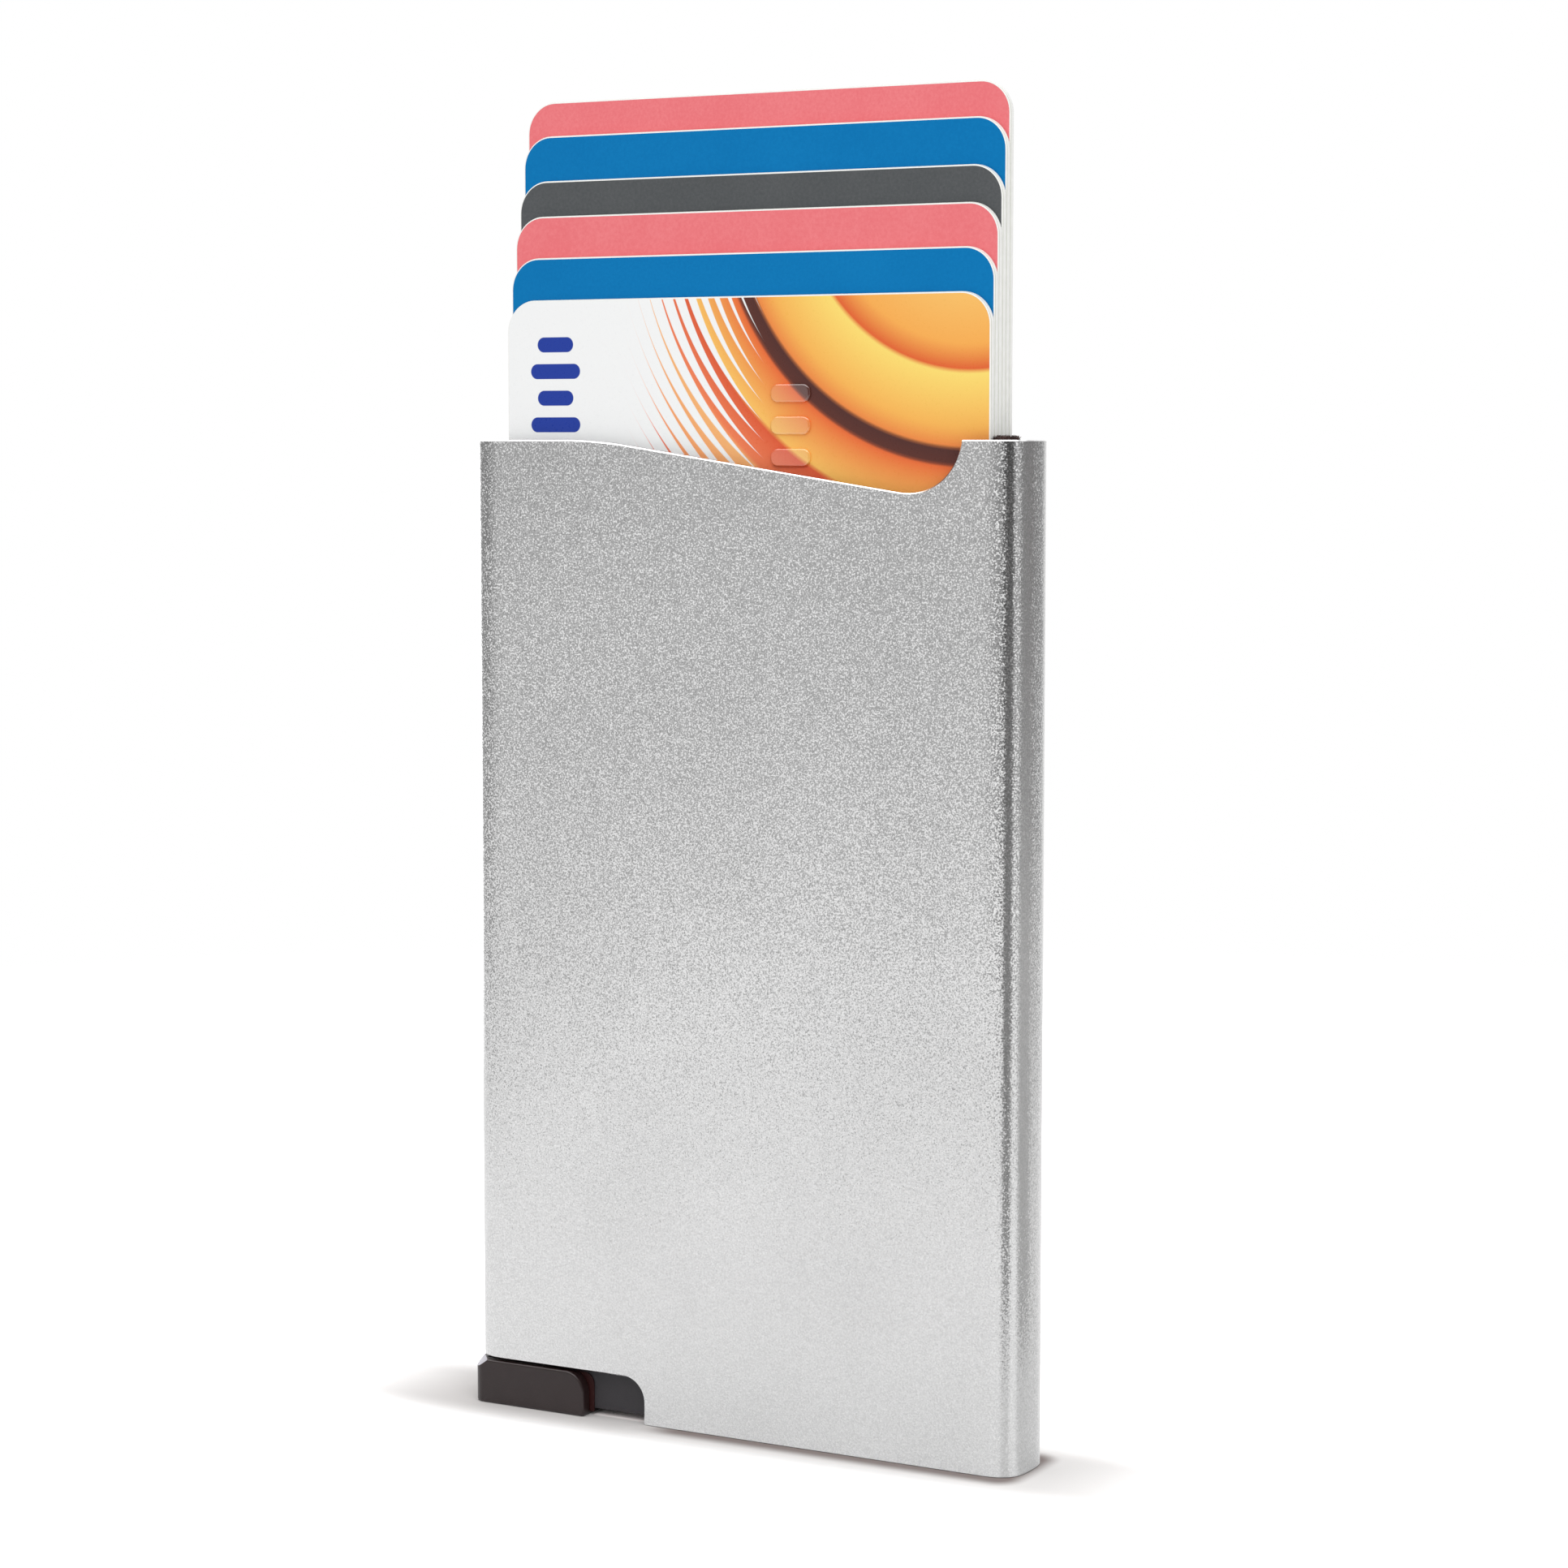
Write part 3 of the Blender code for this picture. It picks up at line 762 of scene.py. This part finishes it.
def dashLadder(across, up):
    # short dashes with round ends, every second one shorter
    row = (up - picture["dashZ"]) / picture["dashPitch"]
    fromMiddle = (row.cycle(1) - 0.5) * picture["dashPitch"]
    length = picture["dashLength"] - picture["dashShorter"] * row.calc("FLOOR").cycle(2)
    radius = picture["dashRadius"]
    pastEnd = ((across - picture["dashX"]).size() - length + radius).most(0)
    outside = (pastEnd * pastEnd + fromMiddle * fromMiddle).root() - radius
    dash = 1 - outside.rise(-picture["dashSoft"], picture["dashSoft"])
    return dash * (1 - up.rise(*picture["dashTop"]))


def frontPrint():
    # white on the left with a ladder of blue dashes, thin arcs, and warm rings on the right
    finish, nodes = newFinish("cardFrontPrint")
    spot = nodes.spot()
    x, y, z = nodes.split(spot)
    across = x * 1000
    up = z * 1000
    grain = nodes.noise(spot, lacquer["grain"], detail=3, roughness=0.7)
    centerX, centerZ = picture["center"]
    far = across - centerX
    high = up - centerZ
    ring = (far * far + high * high).root()
    warm = nodes.ramp(ring / picture["reach"], picture["rings"])
    arc = (ring.cycle(picture["arcPitch"]) / picture["arcPitch"] - 0.5).size() * 2
    veil = (across - picture["veilLeft"]).rise(0, picture["veilWidth"])
    arcs = (veil * picture["veilShare"] - arc).rise(*picture["arcSoft"])
    color = nodes.mix(arcs, picture["white"], warm)
    color = nodes.mix(dashLadder(across, up), color, picture["dashColor"])
    speckles = (grain - 0.5).size() * picture["speckle"]
    color = nodes.mix(speckles, color, picture["speckleTone"], "MULTIPLY")
    nodes.surface({
        "Base Color": color,
        "Roughness": picture["roughness"] + lacquer["grainRoughness"] * grain,
        "Specular IOR Level": picture["gloss"],
        "Coat Weight": (relief["printedY"] - y).rise(*relief["coatFrom"]),
        "Coat Roughness": relief["coatRoughness"],
        "Coat IOR": relief["coatIndex"],
        "Normal": nodes.bump(nodes.noise(spot, lacquer["wave"]), lacquer["waveDepth"]),
    })
    return finish


def addRelief(card, front):
    left, right = relief["x"]
    half = relief["height"] / 2
    top = front - relief["proud"]
    for z in relief["z"]:
        ridge = addBlock("ridge", (left, top, z - half), (right, front + relief["sunk"], z + half))
        roundPicked(ridge, lambda edge: along(edge, 1), half * relief["roundness"], relief["roundSegments"])
        roundPicked(ridge, lambda edge: near(edge, 1, top), relief["topEdge"], relief["topSegments"])
        combine(card, ridge, "UNION")


def makeCard(number, printed, bare):
    node = f"card_{number}"
    low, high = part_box(node)
    card = addBlock(f"{node}_print", low, high)
    roundPicked(card, lambda edge: along(edge, 1), cards["corner"], cards["cornerSegments"])
    softenEdges(card, cards["edge"], cards["edgeSegments"], cards["edgeAngle"])
    if number == 1:
        addRelief(card, low.y)
    dress(card, printed, bare)
    middleX, middleZ = (low.x + high.x) / 2, (low.z + high.z) / 2
    for face in card.data.polygons:
        inX = abs(face.center.x - middleX) < high.x - middleX - cards["rim"]
        inZ = abs(face.center.z - middleZ) < high.z - middleZ - cards["rim"]
        face.material_index = 0 if abs(face.normal.y) > modelling["faced"] or inX and inZ else 1
    smooth(card)
    return card


def makeCards():
    bare = cardCore(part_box("card_1")[0].y)
    kinds = {}
    for name, (color, lighter, slot) in cards["colors"].items():
        kinds[name] = (cardPrint(f"{name}Print", color, lighter), slot)
    kinds["front"] = (frontPrint(), "card_orange")
    for number, (kind, body) in enumerate(zip(cards["stack"], cards["bodies"]), 1):
        printed, slot = kinds[kind]
        place(makeCard(number, printed, bare), body, slot, f"card_{number}")


makeCards()
print("cards made")


# Felt strips with a loose pile on top, and the foam behind them

felt = {
    "voxel": 0.00016,
    "uneven": 0.00016,
    "lumps": 0.0003,
    "lumpMiddle": 0.6,
    "edge": 0.00015,
    "pile": 0.0002,
    "seed": 4,
    "hairs": 620,
    "hairRadius": 0.00004,
    "hairLength": (0.0002, 0.00056),
    "hairLean": (0.3, 1.3),
    "hairReach": 0.5,
    "hairCurl": 1.6,
    "hairSink": 1.4,  # roots below the top, in pile heights
    "hairSag": 0.4,
    "hairTaper": 0.55,
    "fibre": 5200,
    "fibreShare": 0.6,
    "fibreDepth": 0.00006,
    "cloud": 700,
    "cloudShare": 0.4,
    "toneFrom": (0.32, 0.7),
    "roughness": (0.9, 0.1),  # least, and what the noise adds
    "sheen": 0.25,
    "sheenRoughness": 0.5,
    "dark": shade(44, 28, 26),
    "light": shade(96, 58, 50),
}

foam = {
    "voxel": 0.00022,
    "uneven": 0.00016,
    "lumps": 0.0005,
    "lumpMiddle": 0.6,
    "edge": 0.0002,
    "cells": 3200,
    "cellFrom": (0.1, 0.7),
    "cellDepth": 0.00006,
    "roughness": (0.85, 0.1),  # least, and what the cells add
    "dark": shade(70, 70, 72),
    "light": shade(104, 104, 105),
}


def pileFelt():
    finish, nodes = newFinish("pileFelt")
    spot = nodes.spot()
    fibre = nodes.noise(spot, felt["fibre"], detail=3, roughness=0.7)
    cloud = nodes.noise(spot, felt["cloud"])
    tone = (felt["fibreShare"] * fibre + felt["cloudShare"] * cloud).rise(*felt["toneFrom"])
    least, more = felt["roughness"]
    nodes.surface({
        "Base Color": nodes.mix(tone, felt["dark"], felt["light"]),
        "Roughness": least + more * fibre,
        "Sheen Weight": felt["sheen"],
        "Sheen Roughness": felt["sheenRoughness"],
        "Normal": nodes.bump(fibre, felt["fibreDepth"]),
    })
    return finish


def cellFoam():
    finish, nodes = newFinish("cellFoam")
    values = {"Vector": nodes.spot(), "Scale": foam["cells"]}
    cell = nodes.add("ShaderNodeTexVoronoi", {"feature": "F1"}, values)
    # each cell's middle is sunk by the bump and coloured darker: painted shade in the hollows
    depth = Level(nodes, cell.outputs["Distance"]).rise(*foam["cellFrom"])
    least, more = foam["roughness"]
    nodes.surface({
        "Base Color": nodes.mix(depth, foam["dark"], foam["light"]),
        "Roughness": least + more * depth,
        "Normal": nodes.bump(depth, foam["cellDepth"]),
    })
    return finish


def unevenBlock(name, low, high, look, lumpName):
    # a block with rounded edges and a lumpy skin
    block = addBlock(name, low, high)
    roundPicked(block, lambda edge: True, look["edge"], segments=2)
    applyModifier(block, "REMESH", mode="VOXEL", voxel_size=look["voxel"])
    lumps = bpy.data.textures.new(lumpName, "CLOUDS")
    lumps.noise_scale = look["lumps"]
    applyModifier(block, "DISPLACE", texture=lumps, strength=look["uneven"],
                  mid_level=look["lumpMiddle"], texture_coords="LOCAL")
    return block


def addHairs(name, low, high, draw):
    curve = bpy.data.curves.new(name, "CURVE")
    curve.dimensions = "3D"
    curve.bevel_depth = felt["hairRadius"]
    curve.bevel_resolution = 0
    curve.use_fill_caps = True
    margin = felt["hairRadius"]
    rootZ = high.z - felt["hairSink"] * felt["pile"]
    for count in range(felt["hairs"]):
        x = draw.uniform(low.x + margin, high.x - margin)
        y = draw.uniform(low.y + margin, high.y - margin)
        length = draw.uniform(*felt["hairLength"])
        turn = draw.uniform(0, 2 * pi)
        lean = draw.uniform(*felt["hairLean"])
        rise = length * (1 - felt["hairSag"] * lean)
        hair = curve.splines.new("POLY")
        hair.points.add(2)
        for index, point in enumerate(hair.points):
            share = index / 2
            out = length * lean * share ** felt["hairCurl"] * felt["hairReach"]
            spotX = min(max(x + out * cos(turn), low.x), high.x)
            point.co = (spotX, y + out * sin(turn), rootZ + rise * share, 1)
            point.radius = 1 - felt["hairTaper"] * share
    hairs = bpy.data.objects.new(name, curve)
    bpy.context.scene.collection.objects.link(hairs)
    takeUp(hairs)
    bpy.ops.object.convert(target="MESH")
    return bpy.context.object


def makeStrips():
    draw = Random(felt["seed"])
    feltFinish = pileFelt()
    foamFinish = cellFoam()
    for side in ("left", "right"):
        low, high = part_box(f"{side}_felt_strip")
        strip = unevenBlock(f"{side}_felt", low, (high.x, high.y, high.z - felt["pile"]), felt, f"{side}Pile")
        addHairs(f"{side}Hairs", low, high, draw)
        strip.select_set(True)
        bpy.context.view_layer.objects.active = strip
        bpy.ops.object.join()
        dress(strip, feltFinish)
        bpy.ops.object.shade_smooth()
        place(strip, "case", "brown_felt", f"{side}_felt_strip")
        low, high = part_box(f"{side}_foam_backing")
        backing = unevenBlock(f"{side}_foam", low, high, foam, f"{side}Cells")
        dress(backing, foamFinish)
        bpy.ops.object.shade_smooth()
        place(backing, "case", "grey_foam", f"{side}_foam_backing")


makeStrips()
print("felt and foam made")


# Floor

ground = {
    "radius": 0.6,
    "segments": 96,
    "z": -0.00005,
    "fade": (0.2, 0.36),
    "tone": (0.82, 0.815, 0.81, 1),
    # painted shadow round the foot, darker at the left end, a dark painted contact shadow along its edges and
    # painted light on the floor under the insert, which the camera alone sees
    "left": (0.745, 0.72, 0.71, 1),
    "right": (0.91, 0.89, 0.88, 1),
    "far": (2.0, 2.0, 2.0, 1),
    "farFrom": (0.002, 0.034),
    "depthShare": 9,  # the painted shadow fades three times as fast in front and behind as at the sides
    "footprint": (0.0305, 0.0042),
    "notch": (1.5, 1.4, 1.38, 1),
    "notchLeft": (-0.0172, -0.0168),
    "notchRight": (-0.011, -0.01),
    "notchDepth": (0.0024, 0.0034),
    "contactShadow": (0.2, 0.15, 0.14, 1),
    "contactShare": 0.85,
    "contactFootprint": (0.029, 0.0036),
    "contactReach": (0.001, 0.0032),
    "contactLeft": (-0.0115, -0.006),
    # tones that only the metal's reflections see, with painted shade in two directions
    "mirrored": (1.04, 1.04, 1.04, 1),
    "caseEnd": (0.0286, -0.0024),
    "shaded": ((15, 32, 52, 68, 0.2), (88, 108, 145, 178, 0.25)),  # compass angles, and the share of painted shade
}


def offFoot(x, y, halfWidth, halfDepth):
    # how far a spot lies beside and before a footprint
    return (x.size() - halfWidth).most(0), (y.size() - halfDepth).most(0)


def floorWithPaintedShadow(nodes, x, y):
    # painted shadow round the foot and a painted contact shadow along it, with painted light under the insert
    halfWidth, halfDepth = ground["footprint"]
    beside, before = offFoot(x, y, halfWidth, halfDepth)
    away = (beside * beside + before * before * ground["depthShare"]).root().rise(*ground["farFrom"])
    under = nodes.mix(x.rise(-halfWidth, halfWidth), ground["left"], ground["right"])
    notch = 1 - y.size().rise(*ground["notchDepth"])
    notch = notch * (1 - x.rise(*ground["notchRight"])) * x.rise(*ground["notchLeft"])
    under = nodes.mix(notch, under, ground["notch"])
    beside, before = offFoot(x, y, *ground["contactFootprint"])
    contactShadow = 1 - (beside * beside + before * before).root().rise(*ground["contactReach"])
    contactShadow = contactShadow * x.rise(*ground["contactLeft"]) * ground["contactShare"]
    return nodes.mix(contactShadow, nodes.mix(away, under, ground["far"]), ground["contactShadow"])


def mirroredFloor(nodes, x, y):
    # painted shade that only the metal's reflections see: darker in two directions from the case's end, below
    # the two flags
    endX, endY = ground["caseEnd"]
    turned = (x - endX).calc("ARCTAN2", endY - y)
    shaded = 0
    for begin, full, fade, end, depth in ground["shaded"]:
        within = turned.rise(radians(begin), radians(full)) * (1 - turned.rise(radians(fade), radians(end)))
        shaded = within * depth + shaded
    return nodes.mix(shaded, ground["mirrored"], grey(0))


def makeFloor():
    bpy.ops.object.select_all(action="DESELECT")
    bpy.ops.mesh.primitive_circle_add(vertices=ground["segments"], radius=ground["radius"],
                                      fill_type="NGON", location=(0, 0, ground["z"]))
    floor = bpy.context.object
    floor.name = "floor"
    bpy.ops.object.transform_apply(location=True, rotation=False, scale=False)
    finish, nodes = newFinish("paleFloor")
    x, y, z = nodes.split(nodes.spot())
    path = nodes.add("ShaderNodeLightPath").outputs
    painted = nodes.matt(floorWithPaintedShadow(nodes, x, y))
    mirrored = nodes.matt(mirroredFloor(nodes, x, y))
    seen = nodes.blend(path["Is Camera Ray"], nodes.matt(ground["tone"]), painted)
    seen = nodes.blend(path["Is Glossy Ray"], seen, mirrored)
    edge = (x * x + y * y).root().rise(*ground["fade"])
    nodes.show(nodes.blend(edge, seen, nodes.add("ShaderNodeBsdfTransparent").outputs[0]))
    dress(floor, finish)


makeFloor()
print("floor made")


# Lamps, and grey cards that only the metal's reflections see

studio = {
    "key": {"spot": (0.36, -0.42, 0.4), "size": 0.4, "power": 0.8},
    "top": {"spot": (0.0, -0.18, 0.72), "size": 0.6, "power": 0.9},
    "aimHeight": 0.06,
    "flagCenterX": 0.03,
    # each flag's tones are given by share of its height
    "frontFlag": {"distance": 0.06, "begin": 22, "end": 58, "height": 0.2,
                  "stops": [(0, 0.5), (0.05, 0.45), (0.27, 0.3), (0.5, 0.1), (1, 0.07)]},
    "sideFlag": {"distance": 0.05, "begin": 98, "end": 150, "height": 0.2,
                 "stops": [(0, 0.6), (0.1, 0.66), (0.2, 0.66), (0.3, 0.5), (0.5, 0.32), (1, 0.2)]},
}


def makeLamp(name, spot, size, power):
    bpy.ops.object.select_all(action="DESELECT")
    bpy.ops.object.light_add(type="AREA", location=spot)
    lamp = bpy.context.object
    lamp.name = name
    lamp.data.shape = "DISK"
    lamp.data.size = size
    lamp.data.energy = power
    aim = lamp.location.copy()
    aim.z -= studio["aimHeight"]
    lamp.rotation_euler = aim.to_track_quat("Z", "Y").to_euler()
    lamp.visible_camera = False
    lamp.visible_glossy = False


def makeFlag(name, distance, begin, end, height, stops):
    # a card on the table, between two compass angles seen from the case's right end
    bpy.ops.object.select_all(action="DESELECT")
    bpy.ops.mesh.primitive_plane_add(size=1)
    flag = bpy.context.object
    flag.name = name
    bpy.ops.object.mode_set(mode="EDIT")
    mesh = bmesh.from_edit_mesh(flag.data)
    for vert in mesh.verts:
        angle = radians(begin if vert.co.x < 0 else end)
        x = studio["flagCenterX"] + distance * sin(angle)
        vert.co = (x, -distance * cos(angle), 0 if vert.co.y < 0 else height)
    bmesh.update_edit_mesh(flag.data)
    bpy.ops.object.mode_set(mode="OBJECT")
    finish, nodes = newFinish(f"{name}Card")
    z = nodes.split(nodes.spot())[2]
    tone = nodes.ramp(z / height, [(share, grey(value)) for share, value in stops])
    nodes.show(nodes.matt(tone))
    dress(flag, finish)
    flag.visible_camera = False
    flag.visible_diffuse = False
    flag.visible_shadow = False


# What a mirror would see round the object, by compass angle: 0 is the front, 90 the right
surroundings = {
    "around": [(-180, 1.0), (-138, 1.0), (-126, 3.0), (-112, 3.0), (-98, 0.3), (-50, 0.26), (-38, 0.42),
               (-29, 0.64), (-20, 0.46), (-5, 0.34), (10, 0.28), (22, 0.05), (56, 0.04),
               (66, 0.42), (92, 0.42), (104, 0.14), (150, 0.14), (163, 0.5), (176, 0.85), (180, 1.0)],
    "overhead": 3.0,
    "overheadFrom": (0.6, 0.85),
    "horizon": (-0.28, -0.06),
    "ambient": 0.78,
}


def makeWorld():
    world = bpy.data.worlds.new("studio")
    bpy.context.scene.world = world
    world.use_nodes = True
    world.cycles.sampling_method = "NONE"
    nodes = Nodes(world.node_tree)
    x, y, z = nodes.split(nodes.add("ShaderNodeTexCoord").outputs["Generated"])
    turn = x.calc("ARCTAN2", -y) / (2 * pi) + 0.5
    stops = [((angle + 180) / 360, grey(value)) for angle, value in surroundings["around"]]
    around = nodes.ramp(turn, stops)
    upper = nodes.mix(z.rise(*surroundings["overheadFrom"]), around, grey(surroundings["overhead"]))
    layout = nodes.mix(z.rise(*surroundings["horizon"]), grey(1), upper)
    path = nodes.add("ShaderNodeLightPath").outputs
    soft = nodes.mix(path["Is Glossy Ray"], grey(surroundings["ambient"]), layout)
    color = nodes.mix(path["Is Camera Ray"], soft, grey(1))
    glow = nodes.add("ShaderNodeBackground", None, {"Color": color, "Strength": 1})
    nodes.add("ShaderNodeOutputWorld", None, {"Surface": glow.outputs[0]})


makeLamp("keyLamp", **studio["key"])
makeLamp("topLamp", **studio["top"])
makeFlag("frontFlag", **studio["frontFlag"])
makeFlag("sideFlag", **studio["sideFlag"])
makeWorld()
print("studio made")
